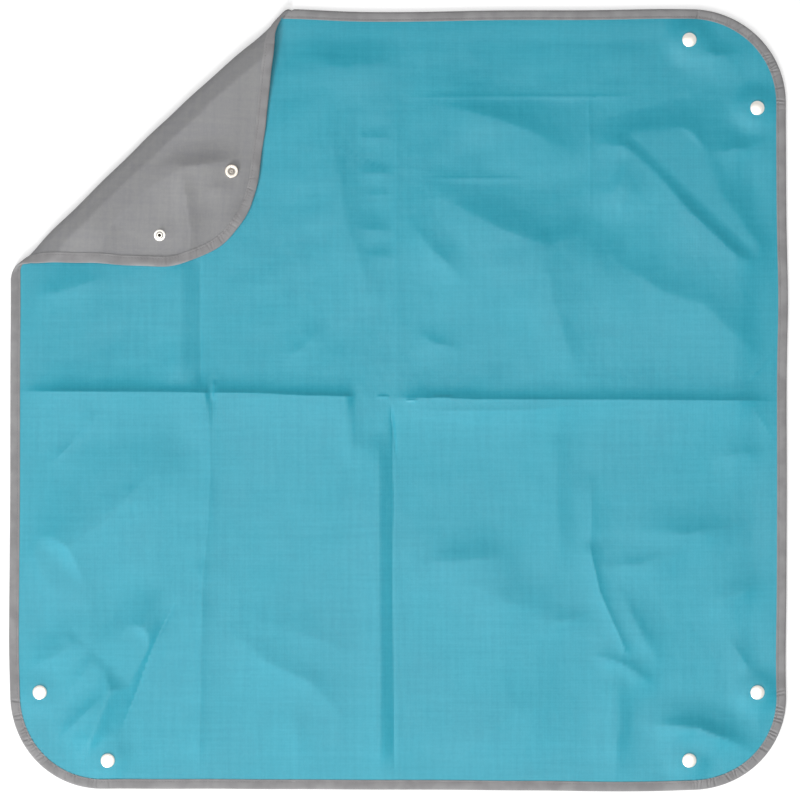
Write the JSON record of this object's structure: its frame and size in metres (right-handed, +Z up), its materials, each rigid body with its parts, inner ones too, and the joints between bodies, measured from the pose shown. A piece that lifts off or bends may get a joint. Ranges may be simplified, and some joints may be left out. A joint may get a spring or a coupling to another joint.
{
  "type": "repotting mat",
  "caption": "Square sewn fabric mat with rounded, bound corners, snap fasteners and one corner folded over.",
  "frame": {"origin": "on the floor under the middle of the open mat", "axes": "+Z up out of the turquoise face, +Y towards the top edge of the picture, +X towards its right edge"},
  "size_m": [0.799, 0.802, 0.0133],
  "materials": {
    "face_fabric": "satin",
    "backing_fabric": "matte",
    "binding_tape": "matte",
    "sewing_thread": "matte",
    "nickel_plate": "polished",
    "spring_steel": "satin"
  },
  "bodies": {
    "upper_half": {"face_upper": "face_fabric", "backing_upper": "backing_fabric", "binding_top": "binding_tape", "binding_left_upper": "binding_tape", "binding_right_upper": "binding_tape", "thread_top": "sewing_thread", "thread_left_upper": "sewing_thread", "thread_right_upper": "sewing_thread"},
    "lower_half": {"face_lower": "face_fabric", "backing_lower": "backing_fabric", "binding_bottom": "binding_tape", "binding_left_lower": "binding_tape", "binding_right_lower": "binding_tape", "thread_bottom": "sewing_thread", "thread_left_lower": "sewing_thread", "thread_right_lower": "sewing_thread"},
    "corner_top_left": {"face_top_left": "face_fabric", "backing_top_left": "backing_fabric", "binding_top_left": "binding_tape", "thread_top_left": "sewing_thread", "snap_cap_top_left_edge": "nickel_plate", "snap_cap_top_left_side": "nickel_plate", "snap_stud_top_left": "nickel_plate", "snap_socket_top_left": "nickel_plate", "socket_spring_top_left": "spring_steel"},
    "corner_top_right": {"face_top_right": "face_fabric", "backing_top_right": "backing_fabric", "binding_top_right": "binding_tape", "thread_top_right": "sewing_thread", "snap_cap_top_right_edge": "nickel_plate", "snap_cap_top_right_side": "nickel_plate", "snap_stud_top_right": "nickel_plate", "snap_socket_top_right": "nickel_plate", "socket_spring_top_right": "spring_steel"},
    "corner_bottom_left": {"face_bottom_left": "face_fabric", "backing_bottom_left": "backing_fabric", "binding_bottom_left": "binding_tape", "thread_bottom_left": "sewing_thread", "snap_cap_bottom_left_edge": "nickel_plate", "snap_cap_bottom_left_side": "nickel_plate", "snap_stud_bottom_left": "nickel_plate", "snap_socket_bottom_left": "nickel_plate", "socket_spring_bottom_left": "spring_steel"},
    "corner_bottom_right": {"face_bottom_right": "face_fabric", "backing_bottom_right": "backing_fabric", "binding_bottom_right": "binding_tape", "thread_bottom_right": "sewing_thread", "snap_cap_bottom_right_edge": "nickel_plate", "snap_cap_bottom_right_side": "nickel_plate", "snap_stud_bottom_right": "nickel_plate", "snap_socket_bottom_right": "nickel_plate", "socket_spring_bottom_right": "spring_steel"}
  },
  "joints": [
    {"name": "fold_top_left", "type": "hinge", "parent": "upper_half", "child": "corner_top_left", "pos_m": [-0.26502, 0.27491, 0.007], "axis": [-0.7274, -0.6862, 0], "range_deg": [0, 179]},
    {"name": "fold_top_right", "type": "hinge", "parent": "upper_half", "child": "corner_top_right", "pos_m": [0.26502, 0.27491, 0.007], "axis": [0.7274, -0.6862, 0], "range_deg": [0, 179]},
    {"name": "fold_middle", "type": "hinge", "parent": "upper_half", "child": "lower_half", "pos_m": [0, 0.004, 0.017], "axis": [-1, 0, 0], "range_deg": [0, 179]},
    {"name": "fold_bottom_left", "type": "hinge", "parent": "lower_half", "child": "corner_bottom_left", "pos_m": [-0.26502, -0.27491, 0.007], "axis": [-0.7274, 0.6862, 0], "range_deg": [0, 179]},
    {"name": "fold_bottom_right", "type": "hinge", "parent": "lower_half", "child": "corner_bottom_right", "pos_m": [0.26502, -0.27491, 0.007], "axis": [-0.7274, -0.6862, 0], "range_deg": [0, 179]}
  ]
}
